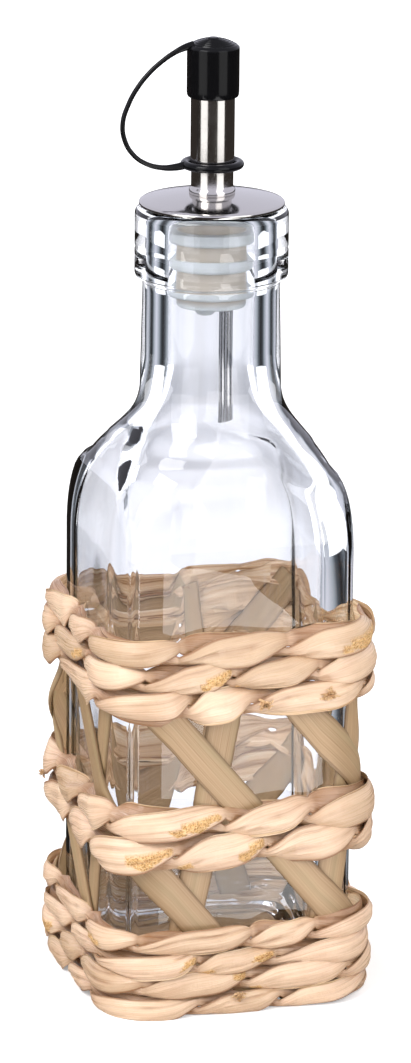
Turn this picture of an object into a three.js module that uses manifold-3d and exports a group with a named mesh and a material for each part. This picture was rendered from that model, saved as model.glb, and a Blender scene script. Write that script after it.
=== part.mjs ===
// Oil bottle for the table: a square glass bottle with a push-in pourer, a spout cap on a
// tether, and a sleeve twined from leaf strands over flat stakes.
// Millimetres, +Z up. The origin is the middle of the sleeve's underside, the front faces -Y.
import * as THREE from "three";
import { mergeVertices } from "three/addons/utils/BufferGeometryUtils.js";
import Module from "manifold-3d";

const wasm = await Module();
wasm.setup();

// Driving dimensions
const gap = 0.3; // clearance between pieces that touch
const totalHeight = 260;
const bodyHalf = 33.7; // half the width across the flats of the glass
const bodyCorner = 13; // radius of the body's upright corners
const shoulderBottom = 121;
const neckBottom = 165;
const collarBottom = 194.9;
const lipTop = 214.6;
const neckRadius = 18.4;
const neckBottomRadius = 19;
const collarRadius = 20.56;
const boreRadius = 11.6;
const bodyWall = 3.5;
const baseThickness = 7;
const discRadius = 19.45;
const discCrown = 2.3; // rise of the domed disc
const tubeRadius = 5.87;
const tubeWall = 0.7;
const ringRadius = 8.46;
const ringHeight = 225.9;
const capRadius = 7;
const capBottom = 244.1;
const capDome = 2.4; // height of the cap's low domed top
const ventX = 4.3;
const ventRadius = 1.9;
const ventBottom = 154.6;
const sleeveThickness = 5.6; // from the glass to the outside of the weave
const stakeWidth = 9;
const stakeThickness = 0.7;
const baseRows = { bottom: 0, top: 24.1, count: 4 };
const middleRows = { bottom: 42, top: 58.9, count: 2 };
const topRows = { bottom: 84, top: 105.9, count: 3 };

// Worked out from them
const straightHalf = bodyHalf - bodyCorner; // half of each flat stretch of the square outline
const quarterLength = 2 * straightHalf + (Math.PI / 2) * bodyCorner;
const matStrip = 0.8; // thickness of one base strip
const bottleBase = 2 * matStrip + 2 * gap; // the bottle stands on two layers of strips
const innerStakeOffset = 0.9; // from the glass to the inside of each layer
const outerStakeOffset = 2;
const rowOffset = 3.1;
const discUnderside = lipTop + gap;
const discRim = discUnderside + 1;
const discTop = discRim + discCrown;
const capTop = totalHeight;
const boreOfTube = tubeRadius - tubeWall;

const colours = {
  glass: 0xdfe4ea,
  steel: 0xb4b2b0,
  blackPlastic: 0x141416,
  milkyPlastic: 0xe6e8ea,
  strand: 0xdcbb96,
  stake: 0xc4a57a,
};

function finish(colour, roughness, metalness) {
  return new THREE.MeshStandardMaterial({ color: colour, roughness, metalness });
}

const looks = {
  glass: () => finish(colours.glass, 0.03, 0),
  steel: () => finish(colours.steel, 0.15, 1),
  blackPlastic: () => finish(colours.blackPlastic, 0.35, 0),
  milkyPlastic: () => finish(colours.milkyPlastic, 0.4, 0),
  strand: () => finish(colours.strand, 0.6, 0),
  stake: () => finish(colours.stake, 0.55, 0),
};

const bottle = new THREE.Group();

function addMesh(name, geometry, look) {
  const mesh = new THREE.Mesh(geometry, looks[look]());
  mesh.name = name;
  bottle.add(mesh);
  return mesh;
}

// Shapes

function toSolid(geometry) {
  const bare = geometry.clone();
  bare.deleteAttribute("normal");
  bare.deleteAttribute("uv");
  const merged = mergeVertices(bare, 1e-4);
  const triVerts = new Uint32Array(merged.index.array);
  const vertProperties = merged.attributes.position.array;
  return new wasm.Manifold(new wasm.Mesh({ numProp: 3, vertProperties, triVerts }));
}

function toGeometry(solid) {
  const mesh = solid.getMesh();
  const geometry = new THREE.BufferGeometry();
  geometry.setAttribute("position", new THREE.BufferAttribute(mesh.vertProperties, 3));
  geometry.setIndex(new THREE.BufferAttribute(mesh.triVerts, 1));
  return geometry;
}

function cut(geometry, ...cutters) {
  let solid = toSolid(geometry);
  for (const cutter of cutters) solid = solid.subtract(toSolid(cutter));
  return toGeometry(solid);
}

// A round piece: points are [radius, height], in order round the section.
function turned(points, segments) {
  const profile = points.map(([radius, height]) => new THREE.Vector2(radius, height));
  return new THREE.LatheGeometry(profile, segments).rotateX(Math.PI / 2);
}

function arc(centreX, centreY, radius, fromDegrees, toDegrees, steps) {
  return Array.from({ length: steps + 1 }, (_, i) => {
    const angle = THREE.MathUtils.degToRad(fromDegrees + ((toDegrees - fromDegrees) * i) / steps);
    return [centreX + radius * Math.cos(angle), centreY + radius * Math.sin(angle)];
  });
}

function bezier(start, startPull, endPull, end, steps) {
  const points = [start, startPull, endPull, end].map(([x, y]) => new THREE.Vector2(x, y));
  return new THREE.CubicBezierCurve(...points).getPoints(steps).map((p) => [p.x, p.y]);
}

// The body is a rounded square that turns into a circle from the shoulder up to the neck.
function straightHalfAt(half, height) {
  const squareTop = 138;
  const roundBottom = 161;
  const roundness = THREE.MathUtils.smoothstep(height, squareTop, roundBottom);
  const widest = (straightHalf / bodyHalf) * half;
  return Math.min(widest, straightHalf) * (1 - roundness);
}

// A point on a rounded square, for a turn of 0 to 1 counted from the middle of the front.
function roundedSquarePoint(turn, half, straight) {
  const corner = half - straight;
  const cornerShare = (corner / half) ** 0.6; // the corners get more of the points
  const flatShare = (1 - cornerShare) / 2;
  const quarter = Math.floor(turn * 4);
  const along = turn * 4 - quarter;
  let x = half;
  let y = 0;
  if (along < flatShare) {
    y = (along / flatShare) * straight;
  } else if (along > 1 - flatShare) {
    x = ((1 - along) / flatShare) * straight;
    y = half;
  } else {
    const angle = (((along - flatShare) / cornerShare) * Math.PI) / 2;
    x = straight + corner * Math.cos(angle);
    y = straight + corner * Math.sin(angle);
  }
  return new THREE.Vector2(x, y).rotateAround(new THREE.Vector2(), ((quarter - 1) * Math.PI) / 2);
}

// Turns a round piece into one with the body's outline: each radius becomes half a width.
function squared(geometry) {
  const position = geometry.attributes.position;
  for (let i = 0; i < position.count; i += 1) {
    const half = Math.hypot(position.getX(i), position.getY(i));
    const angle = Math.atan2(position.getY(i), position.getX(i)) + Math.PI / 2;
    const turn = (angle / (2 * Math.PI) + 2 + 1e-9) % 1;
    const straight = straightHalfAt(half, position.getZ(i));
    const place = half > 0 ? roundedSquarePoint(turn, half, straight) : new THREE.Vector2();
    position.setXY(i, place.x, place.y);
  }
  return geometry;
}

// A point off the body's side: along is the distance round it from the middle of the front.
function wallPoint(along, offset, height) {
  const wrapped = THREE.MathUtils.euclideanModulo(along, 4 * quarterLength);
  const quarter = Math.floor(wrapped / quarterLength);
  const rest = wrapped - quarter * quarterLength;
  const arcLength = (Math.PI / 2) * bodyCorner;
  let place = new THREE.Vector2(bodyHalf + offset, rest);
  if (rest > straightHalf + arcLength) {
    place = new THREE.Vector2(quarterLength - rest, bodyHalf + offset);
  } else if (rest > straightHalf) {
    const angle = (rest - straightHalf) / bodyCorner;
    const radius = bodyCorner + offset;
    place.set(straightHalf + radius * Math.cos(angle), straightHalf + radius * Math.sin(angle));
  }
  place.rotateAround(new THREE.Vector2(), ((quarter - 1) * Math.PI) / 2);
  return [place.x, place.y, height];
}

// A closed bar through rings of points, all with the same count, in order round each section.
function barThrough(rings) {
  const sides = rings[0].length;
  const positions = rings.flat(2);
  const index = [];
  for (let r = 0; r < rings.length - 1; r += 1) {
    for (let s = 0; s < sides; s += 1) {
      const next = (s + 1) % sides;
      const here = r * sides;
      const above = here + sides;
      index.push(here + s, above + next, here + next);
      index.push(here + s, above + s, above + next);
    }
  }
  const last = (rings.length - 1) * sides;
  for (let s = 1; s < sides - 1; s += 1) {
    index.push(0, s, s + 1);
    index.push(last, last + s + 1, last + s);
  }
  const geometry = new THREE.BufferGeometry();
  geometry.setAttribute("position", new THREE.Float32BufferAttribute(positions, 3));
  geometry.setIndex(index);
  return geometry;
}

// Glass

function glassBottle() {
  const edge = 3;
  const collarEdge = 3.4;
  const lipEdge = 1.8;
  const punt = 1;
  const outer = turned(
    [
      [0, bottleBase + punt],
      [bodyHalf - 3 * edge, bottleBase + punt],
      [bodyHalf - 2 * edge, bottleBase],
      ...arc(bodyHalf - edge, bottleBase + edge, edge, -90, 0, 3),
      ...bezier(
        [bodyHalf, shoulderBottom],
        [bodyHalf + 0.5, 153],
        [neckBottomRadius + 1.6, 151.5],
        [neckBottomRadius, neckBottom],
        9,
      ),
      [neckRadius, collarBottom],
      ...arc(collarRadius - collarEdge / 2, collarBottom + collarEdge, collarEdge / 2, -90, 0, 2).slice(1),
      ...arc(collarRadius - lipEdge, lipTop - lipEdge, lipEdge, 0, 90, 3),
      [0, lipTop],
    ],
    40,
  );
  const hollowHalf = bodyHalf - bodyWall;
  const hollowBottom = bottleBase + baseThickness;
  const hollowEdge = 6;
  const mouthFlare = 0.8;
  const inner = turned(
    [
      [0, hollowBottom],
      ...arc(hollowHalf - hollowEdge, hollowBottom + hollowEdge, hollowEdge, -90, 0, 3),
      ...bezier(
        [hollowHalf, shoulderBottom - bodyWall],
        [hollowHalf + 0.5, 149],
        [boreRadius + 1.5, 148],
        [boreRadius, neckBottom + 7],
        8,
      ),
      [boreRadius, lipTop - mouthFlare],
      [boreRadius + 2 * mouthFlare, lipTop + mouthFlare],
      [0, lipTop + mouthFlare],
    ],
    40,
  );
  return cut(squared(outer), squared(inner));
}

// Pourer

const stopperBottom = 188;
const nose = { x: -1.6, radius: 3.3, bottom: 184.7 };
const spoutSocketBottom = 197;

function stopper() {
  const core = 9.3;
  const fin = boreRadius - gap;
  const finBottoms = [191, 198.5, 205.8];
  const finHeights = [3, 3.6, 3.2];
  const fins = finBottoms.flatMap((bottom, i) => [
    [core, bottom],
    [fin - 0.6, bottom],
    [fin, bottom + 1],
    [fin, bottom + finHeights[i] - 0.6],
    [core, bottom + finHeights[i]],
  ]);
  const plug = turned(
    [[0, stopperBottom], [core - 1, stopperBottom], ...fins, [core, lipTop], [0, lipTop]],
    24,
  );
  const noseTip = turned(
    [...arc(0, nose.bottom + nose.radius, nose.radius, -90, 0, 4), [nose.radius, 192], [0, 192]],
    16,
  ).translate(nose.x, 0, 0);
  const socketRadius = tubeRadius - 0.22 + gap;
  const spoutSocket = turned(
    [
      [0, spoutSocketBottom],
      [socketRadius, spoutSocketBottom],
      [socketRadius, lipTop + 1],
      [0, lipTop + 1],
    ],
    24,
  );
  const pourRadius = 2;
  const pourHole = turned(
    [
      [0, nose.bottom - 1],
      [pourRadius, nose.bottom - 1],
      [pourRadius, spoutSocketBottom + 1],
      [0, spoutSocketBottom + 1],
    ],
    12,
  ).translate(nose.x, 0, 0);
  const ventHoleRadius = ventRadius + gap;
  const ventHole = turned(
    [
      [0, stopperBottom - 1],
      [ventHoleRadius, stopperBottom - 1],
      [ventHoleRadius, spoutSocketBottom + 1],
      [0, spoutSocketBottom + 1],
    ],
    12,
  ).translate(ventX, 0, 0);
  const whole = toGeometry(toSolid(plug).add(toSolid(noseTip)));
  return cut(whole, spoutSocket, pourHole, ventHole);
}

function ventTube() {
  const bore = ventRadius - 0.4;
  const top = spoutSocketBottom - gap;
  return turned(
    [[bore, ventBottom], [ventRadius, ventBottom], [ventRadius, top], [bore, top], [bore, ventBottom]],
    12,
  ).translate(ventX, 0, 0);
}

// The disc is a shallow cap of a sphere with a thin rim and a hole for the spout tube.
function flangeDisc() {
  const hole = tubeRadius + gap;
  const domeRadius = (discRadius ** 2 + discCrown ** 2) / (2 * discCrown);
  const dome = Array.from({ length: 6 }, (_, i) => {
    const radius = discRadius - ((discRadius - hole) * i) / 5;
    return [radius, discTop - domeRadius + Math.sqrt(domeRadius ** 2 - radius ** 2)];
  });
  return turned([[hole, discUnderside], [discRadius, discUnderside], ...dome, [hole, discUnderside]], 32);
}

function pourTube() {
  const lower = tubeRadius - 0.22;
  const bead = { height: 218.6, radius: 6.23, half: 0.8 };
  const bottom = spoutSocketBottom + gap;
  const top = capTop - capDome - 4;
  return turned(
    [
      [boreOfTube - 0.2, bottom],
      [lower, bottom],
      [lower, bead.height - bead.half],
      [bead.radius, bead.height],
      [lower, bead.height + bead.half],
      [lower, ringHeight - 1],
      [tubeRadius, ringHeight + 1],
      [tubeRadius, top],
      [boreOfTube, top],
      [boreOfTube - 0.2, bottom],
    ],
    24,
  );
}

// Cap and tether

function spoutCap() {
  const hollow = tubeRadius + gap;
  const hollowTop = capTop - capDome - 3.6;
  const rimTop = capTop - capDome;
  return turned(
    [
      [0, hollowTop],
      [hollow, hollowTop],
      [hollow, capBottom],
      [capRadius - 0.3, capBottom],
      [capRadius, capBottom + 0.8],
      [capRadius, rimTop - 0.8],
      [capRadius - 0.4, rimTop],
      [5, rimTop + 1.4],
      [2.4, capTop],
      [0, capTop],
    ],
    28,
  );
}

function tetherRing() {
  const thick = 1.1;
  const bore = tubeRadius + gap;
  const middle = (ringRadius + bore) / 2;
  const halfWidth = (ringRadius - bore) / 2;
  const section = arc(0, 0, 1, 0, 360, 6).map(([x, y]) => [middle + halfWidth * x, ringHeight + thick * y]);
  return turned(section, 24);
}

// The strap leaves the cap's rim, bows out to one side and comes back to the ring.
const strapRoute = [
  [-capRadius - gap, 256.4],
  [-11.9, 256.9],
  [-15.8, 254.8],
  [-19.3, 252.1],
  [-23.3, 247],
  [-25.2, 241.7],
  [-25.2, 236.3],
  [-23, 231],
  [-19.4, 227.7],
  [-14.5, 226],
  [-ringRadius - gap, 225.9],
];

function tetherStrap() {
  const thick = 1.3;
  const route = new THREE.CatmullRomCurve3(strapRoute.map(([x, z]) => new THREE.Vector3(x, 0, z)));
  const section = new THREE.Shape().absarc(0, 0, thick / 2, 0, 2 * Math.PI);
  return new THREE.ExtrudeGeometry(section, {
    steps: 26,
    curveSegments: 4,
    bevelEnabled: false,
    extrudePath: route,
  });
}

// Sleeve

function stake(startAlong, lean, offset, bottom, top, steps) {
  const length = Math.hypot(lean, 1);
  const across = [1 / length, -lean / length]; // along the wall, and up
  const rings = Array.from({ length: steps + 1 }, (_, i) => {
    const height = bottom + ((top - bottom) * i) / steps;
    const along = startAlong + lean * (height - bottom);
    const point = (side, depth) => {
      const sideways = (side * stakeWidth) / 2;
      return wallPoint(along + sideways * across[0], depth, height + sideways * across[1]);
    };
    const outside = offset + stakeThickness;
    return [
      point(-1, offset),
      point(0, offset),
      point(1, offset),
      point(1, outside),
      point(0, outside),
      point(-1, outside),
    ];
  });
  return barThrough(rings);
}

function weaveRow(bottom, top) {
  const inside = bodyHalf + rowOffset;
  const outside = bodyHalf + sleeveThickness;
  const edge = 0.9;
  const rise = 1.5;
  return squared(
    turned(
      [
        [inside, bottom],
        [outside - edge, bottom],
        [outside, bottom + rise],
        [outside, top - rise],
        [outside - edge, top],
        [inside, top],
        [inside, bottom],
      ],
      40,
    ),
  );
}

function addRows(name, band) {
  const pitch = (band.top - band.bottom + gap) / band.count;
  for (let i = 0; i < band.count; i += 1) {
    const bottom = band.bottom + i * pitch;
    addMesh(`${name}_${i + 1}`, weaveRow(bottom, bottom + pitch - gap), "strand");
  }
}

// Flat strips crossing under the bottle in two layers, X over Y, shorter near the round corners.
function addBaseMat() {
  const strips = 6;
  const reach = bodyHalf - 0.2;
  const pitch = (2 * reach) / strips;
  const width = pitch - 1;
  for (let i = 0; i < strips; i += 1) {
    const place = (i - (strips - 1) / 2) * pitch;
    const past = Math.max(0, Math.abs(place) + width / 2 - straightHalf);
    const half = reach - bodyCorner + Math.sqrt(bodyCorner ** 2 - Math.min(past, bodyCorner) ** 2);
    const lower = new THREE.BoxGeometry(width, 2 * half, matStrip);
    lower.translate(place, 0, matStrip / 2);
    const upper = new THREE.BoxGeometry(2 * half, width, matStrip);
    upper.translate(0, place, 1.5 * matStrip + gap);
    addMesh(`base_strip_under_${i + 1}`, lower, "stake");
    addMesh(`base_strip_over_${i + 1}`, upper, "stake");
  }
}

// Two layers of stakes go round the bottle. Each is placed by its distance round from the middle
// of the front, at the bottom, and a weaver's hand leaves some a little off their even spacing.
const stakeLayers = [
  {
    name: "upright_stake",
    start: -19.7,
    lean: 0.18,
    offset: innerStakeOffset,
    strays: [0, -2, 0, 1, 0, 5],
    steps: 10,
  },
  {
    name: "diagonal_stake",
    start: 44,
    lean: -0.82,
    offset: outerStakeOffset,
    strays: [0, -3.5, 0, 2, 0, 2.5],
    steps: 24,
  },
];

function addStakes() {
  const bottom = 3.4;
  const top = 102.5;
  for (const { name, start, lean, offset, strays, steps } of stakeLayers) {
    const spacing = (4 * quarterLength) / strays.length;
    strays.forEach((stray, i) => {
      const along = start + i * spacing + stray;
      addMesh(`${name}_${i + 1}`, stake(along, lean, offset, bottom, top, steps), "stake");
    });
  }
}

addMesh("glass_bottle", glassBottle(), "glass");
addMesh("stopper", stopper(), "milkyPlastic");
addMesh("vent_tube", ventTube(), "steel");
addMesh("flange_disc", flangeDisc(), "steel");
addMesh("pour_tube", pourTube(), "steel");
addMesh("spout_cap", spoutCap(), "blackPlastic");
addMesh("tether_ring", tetherRing(), "blackPlastic");
addMesh("tether_strap", tetherStrap(), "blackPlastic");
addRows("base_row", baseRows);
addRows("middle_row", middleRows);
addRows("top_row", topRows);
addStakes();
addBaseMat();

export default bottle;
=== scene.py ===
# Oil bottle in a woven sleeve: glass, pourer, tethered cap and leaf weave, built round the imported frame
import math
import random

import bpy
from mathutils import Matrix, Vector, noise


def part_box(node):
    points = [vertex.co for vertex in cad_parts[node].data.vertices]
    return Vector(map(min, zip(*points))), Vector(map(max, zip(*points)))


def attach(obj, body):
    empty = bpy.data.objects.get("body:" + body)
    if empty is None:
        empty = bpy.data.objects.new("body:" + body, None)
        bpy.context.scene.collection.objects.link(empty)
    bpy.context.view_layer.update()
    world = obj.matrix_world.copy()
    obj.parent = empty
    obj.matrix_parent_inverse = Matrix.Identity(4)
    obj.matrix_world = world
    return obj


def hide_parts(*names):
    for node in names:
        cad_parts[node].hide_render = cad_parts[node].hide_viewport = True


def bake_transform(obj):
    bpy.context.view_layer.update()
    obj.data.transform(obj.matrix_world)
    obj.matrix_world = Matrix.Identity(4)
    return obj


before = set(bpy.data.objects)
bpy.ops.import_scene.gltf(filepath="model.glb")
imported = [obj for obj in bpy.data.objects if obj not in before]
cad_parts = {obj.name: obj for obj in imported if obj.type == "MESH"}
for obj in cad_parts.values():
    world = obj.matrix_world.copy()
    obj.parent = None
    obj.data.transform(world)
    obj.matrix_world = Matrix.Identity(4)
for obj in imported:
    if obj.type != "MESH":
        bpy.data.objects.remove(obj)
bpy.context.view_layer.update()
mm = 0.001
print("frame loaded:", len(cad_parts), "nodes")


def deselectAll():
    if bpy.context.object and bpy.context.object.mode != "OBJECT":
        bpy.ops.object.mode_set(mode="OBJECT")
    bpy.ops.object.select_all(action="DESELECT")


def makeActive(piece):
    deselectAll()
    piece.select_set(True)
    bpy.context.view_layer.objects.active = piece


def addToScene(name, data):
    piece = bpy.data.objects.new(name, data)
    bpy.context.scene.collection.objects.link(piece)
    return piece


def meshPiece(name, vertices, edges=(), faces=()):
    mesh = bpy.data.meshes.new(name)
    mesh.from_pydata([tuple(v) for v in vertices], list(edges), list(faces))
    mesh.update()
    return addToScene(name, mesh)


# the lowest and highest point of a node's box, in millimetres
def heights(box):
    low, high = box
    return low.z / mm, high.z / mm


# the faces between rings of points that follow one another
def ringFaces(rings, around, meets=False):
    faces = []
    for i in range(rings if meets else rings - 1):
        here, there = i * around, (i + 1) % rings * around
        for j in range(around):
            k = (j + 1) % around
            faces.append((here + j, there + j, there + k, here + k))
    return faces


def evenNormals(piece, smoothAngle=None):
    makeActive(piece)
    bpy.ops.object.mode_set(mode="EDIT")
    bpy.ops.mesh.select_all(action="SELECT")
    bpy.ops.mesh.normals_make_consistent(inside=False)
    bpy.ops.object.mode_set(mode="OBJECT")
    if smoothAngle:
        bpy.ops.object.shade_smooth_by_angle(angle=math.radians(smoothAngle))


def arc(centreX, centreY, radius, fromDegrees, toDegrees, steps):
    points = []
    for i in range(steps + 1):
        angle = math.radians(fromDegrees + (toDegrees - fromDegrees) * i / steps)
        points.append((centreX + radius * math.cos(angle), centreY + radius * math.sin(angle)))
    return points


def bezier(start, startPull, endPull, end, steps):
    points = []
    for i in range(steps + 1):
        t = i / steps
        a, b, c, d = (1 - t) ** 3, 3 * t * (1 - t) ** 2, 3 * t * t * (1 - t), t ** 3
        points.append(tuple(a * s + b * p + c * q + d * e
                            for s, p, q, e in zip(start, startPull, endPull, end)))
    return points


# adds points along long straight stretches, so that a turned piece has even faces
def straightened(points, step):
    out = [points[0]]
    for here, there in zip(points, points[1:]):
        count = max(1, int(math.dist(here, there) / step))
        for i in range(1, count + 1):
            t = i / count
            out.append((here[0] + (there[0] - here[0]) * t, here[1] + (there[1] - here[1]) * t))
    return out


# a profile of (radius, height) in millimetres, spun round the upright axis
def turnedPiece(name, points, steps, smoothAngle=35, closed=False):
    vertices = [(r * mm, 0, z * mm) for r, z in points]
    edges = [(i, i + 1) for i in range(len(points) - 1)]
    if closed:
        edges.append((len(points) - 1, 0))
    piece = meshPiece(name, vertices, edges)
    makeActive(piece)
    bpy.ops.object.mode_set(mode="EDIT")
    bpy.ops.mesh.select_all(action="SELECT")
    bpy.ops.mesh.spin(steps=steps, angle=2 * math.pi, center=(0, 0, 0), axis=(0, 0, 1))
    bpy.ops.mesh.select_all(action="SELECT")
    bpy.ops.mesh.remove_doubles(threshold=1e-6)
    bpy.ops.mesh.normals_make_consistent(inside=False)
    bpy.ops.object.mode_set(mode="OBJECT")
    bpy.ops.object.shade_smooth_by_angle(angle=math.radians(smoothAngle))
    return piece


def movePiece(piece, offset):
    piece.data.transform(Matrix.Translation(Vector(offset)))


def finishPiece(piece, body, material, slot, *nodes):
    piece.data.materials.clear()
    piece.data.materials.append(material)
    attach(piece, body)
    if nodes:
        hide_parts(*nodes)
    return piece


# a material with its nodes at hand
class Recipe:
    def __init__(self, name):
        self.material = bpy.data.materials.new(name)
        self.material.use_nodes = True
        self.tree = self.material.node_tree
        self.tree.nodes.clear()
        self.output = self.tree.nodes.new("ShaderNodeOutputMaterial")
        self.shader = self.tree.nodes.new("ShaderNodeBsdfPrincipled")
        self.link(self.shader, "BSDF", self.output, "Surface")

    def add(self, kind, **settings):
        node = self.tree.nodes.new(kind)
        for key, value in settings.items():
            if key in node.inputs:
                node.inputs[key].default_value = value
            else:
                setattr(node, key, value)
        return node

    def link(self, source, output, target, socket):
        self.tree.links.new(source.outputs[output], target.inputs[socket])

    def objectCoords(self, scale=(1, 1, 1)):
        mapping = self.add("ShaderNodeMapping", Scale=scale)
        self.link(self.add("ShaderNodeTexCoord"), "Object", mapping, "Vector")
        return mapping

    def uvCoords(self, scale=(1, 1, 1)):
        mapping = self.add("ShaderNodeMapping", Scale=scale)
        self.link(self.add("ShaderNodeUVMap", uv_map="leafUv"), "UV", mapping, "Vector")
        return mapping

    def noise(self, vector, scale, detail=3.0, roughness=0.5, distortion=0.0):
        node = self.add("ShaderNodeTexNoise", Scale=scale, Detail=detail, Roughness=roughness,
                        Distortion=distortion)
        self.link(vector, "Vector", node, "Vector")
        return node

    def ramp(self, source, output, stops):
        node = self.add("ShaderNodeValToRGB")
        elements = node.color_ramp.elements
        while len(elements) < len(stops):
            elements.new(0.5)
        for element, (place, colour) in zip(elements, stops):
            element.position = place
            element.color = (*colour, 1) if len(colour) == 3 else colour
        self.link(source, output, node, "Fac")
        return node

    def range(self, source, output, low, high, fromLow=0.0, fromHigh=1.0):
        node = self.add("ShaderNodeMapRange", **{"From Min": fromLow, "From Max": fromHigh,
                                                 "To Min": low, "To Max": high})
        self.link(source, output, node, "Value")
        return node

    def mixColour(self, factor, factorOut, a, aOut, b, bOut, blend="MIX"):
        node = self.add("ShaderNodeMix", data_type="RGBA", blend_type=blend)
        if isinstance(factor, (int, float)):
            node.inputs[0].default_value = factor
        else:
            self.tree.links.new(factor.outputs[factorOut], node.inputs[0])
        for value, out, socket in ((a, aOut, 6), (b, bOut, 7)):
            if isinstance(value, tuple):
                node.inputs[socket].default_value = (*value, 1)
            else:
                self.tree.links.new(value.outputs[out], node.inputs[socket])
        return node

    def bump(self, source, output, distance, strength=1.0, after=None):
        node = self.add("ShaderNodeBump", Strength=strength, Distance=distance)
        self.link(source, output, node, "Height")
        if after:
            self.link(after, "Normal", node, "Normal")
        return node

    # a value that is kept at each point of the mesh
    def pointValue(self, label):
        return self.add("ShaderNodeAttribute", attribute_name=label)

    def surface(self, values):
        for label, value in values.items():
            self.shader.inputs[label].default_value = value

    def relief(self, bump, rough=None):
        if rough:
            self.link(rough, "Result", self.shader, "Roughness")
        self.link(bump, "Normal", self.shader, "Normal")


def mixOut(node):
    return node.outputs[2]


glassLook = {
    "tint": (0.90, 0.91, 0.945),
    # a painted darker band where the glass turns partway from the eye, standing in for dark reflections
    "band": (0.74, 0.765, 0.82),
    "index": 1.5,
    "waviness": 0.00012,
    # painted dark reflection along the outlines, where the glass faces away from the eye
    "edgeTint": (0.20, 0.245, 0.275),
}


def clearGlass():
    look = glassLook
    r = Recipe("clearGlass")
    coords = r.objectCoords()
    ripple = r.noise(coords, 45, 2, 0.4)
    smear = r.noise(coords, 160, 4, 0.6)
    facing = r.add("ShaderNodeLayerWeight", Blend=0.5)
    # painted dark reflections: the glass's colour darkens to a band, then to a near-black rim, as it turns
    # from the eye
    edge = r.ramp(facing, "Facing", [(0.0, look["tint"]), (0.2, look["tint"]), (0.38, look["band"]),
                                     (0.55, look["tint"]), (0.82, look["tint"]), (0.97, look["edgeTint"])])
    r.link(edge, "Color", r.shader, "Base Color")
    r.surface({"IOR": look["index"], "Transmission Weight": 1.0})
    r.relief(r.bump(ripple, "Fac", look["waviness"], 0.35), r.range(smear, "Fac", 0.0, 0.012, 0.45, 0.75))
    lightPath = r.add("ShaderNodeLightPath")
    through = r.add("ShaderNodeBsdfTransparent", Color=(0.985, 0.985, 0.99, 1))
    mix = r.add("ShaderNodeMixShader")
    r.tree.links.new(lightPath.outputs["Is Shadow Ray"], mix.inputs[0])
    r.tree.links.new(r.shader.outputs[0], mix.inputs[1])
    r.tree.links.new(through.outputs[0], mix.inputs[2])
    r.tree.links.new(mix.outputs[0], r.output.inputs["Surface"])
    return r.material


steelLook = {"colour": (0.60, 0.58, 0.56), "roughness": (0.10, 0.17), "lines": 0.000006}


def polishedSteel():
    look = steelLook
    r = Recipe("polishedSteel")
    r.surface({"Base Color": (*look["colour"], 1), "Metallic": 1.0})
    turnedLines = r.noise(r.objectCoords((40, 40, 9000)), 1.0, 2, 0.6)
    smudge = r.noise(r.objectCoords(), 220, 4, 0.65)
    rough = r.range(smudge, "Fac", *look["roughness"], 0.35, 0.7)
    r.relief(r.bump(turnedLines, "Fac", look["lines"], 0.6), rough)
    return r.material


plasticLook = {
    "colour": (0.003, 0.003, 0.0035),
    "shine": 0.17,
    "roughness": (0.11, 0.19),
    "grain": 0.000008,
}


def blackPlastic():
    look = plasticLook
    r = Recipe("blackPlastic")
    r.surface({"Base Color": (*look["colour"], 1), "Specular IOR Level": look["shine"]})
    grain = r.noise(r.objectCoords(), 2600, 3, 0.6)
    patches = r.noise(r.objectCoords(), 180, 3, 0.6)
    rough = r.range(patches, "Fac", *look["roughness"], 0.3, 0.7)
    r.relief(r.bump(grain, "Fac", look["grain"], 0.5), rough)
    return r.material


milkyLook = {
    "colour": (0.57, 0.60, 0.60),
    "shade": (0.48, 0.51, 0.51),
    # darker beige for the core between the fins: partly painted shade in the recesses, partly the steel
    # tube showing through
    "core": (0.52, 0.45, 0.36),
    "roughness": 0.32,
}


def milkyPlastic():
    look = milkyLook
    r = Recipe("milkyPlastic")
    cloud = r.noise(r.objectCoords(), 240, 3, 0.55)
    tone = r.ramp(cloud, "Fac", [(0.3, look["shade"]), (0.7, look["colour"])])
    # painted shade: the core between the fins is coloured darker beige
    core = r.pointValue("core")
    toned = r.mixColour(core, "Fac", tone, "Color", look["core"], None)
    r.tree.links.new(mixOut(toned), r.shader.inputs["Base Color"])
    r.surface({"Roughness": look["roughness"], "Transmission Weight": 0.25, "Subsurface Weight": 0.5,
               "Subsurface Radius": (0.004, 0.004, 0.0045), "Subsurface Scale": 1.0})
    r.relief(r.bump(r.noise(r.objectCoords(), 1500, 2, 0.5), "Fac", 0.00002, 0.4))
    return r.material


strandLook = {
    "pale": (0.79, 0.575, 0.40),
    "rosy": (0.70, 0.475, 0.325),
    "pith": (0.68, 0.38, 0.13),
    "pit": (0.36, 0.165, 0.05),
    "pithPale": (0.86, 0.56, 0.27),
    # dark brown mixed in by the edge value: painted shade at pinches, in creases and behind the other
    # strand, with the leaf's own darker margins
    "seam": (0.24, 0.10, 0.032),
    "tan": (0.50, 0.335, 0.20),
    # the inner face's palette, with its brown folds, is lightened, its palest stop most: painted light for
    # the inside of the sleeve, which little light reaches
    "inside": (0.76, 0.52, 0.30),
    "insideDark": (0.36, 0.19, 0.08),
    "insidePale": (0.92, 0.74, 0.52),
    "roughness": (0.19, 0.40),
    "streaks": [(0.3, (0.50, 0.40, 0.33)), (0.46, (0.90, 0.87, 0.85)), (0.7, (1.06, 1.06, 1.06))],
}


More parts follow.
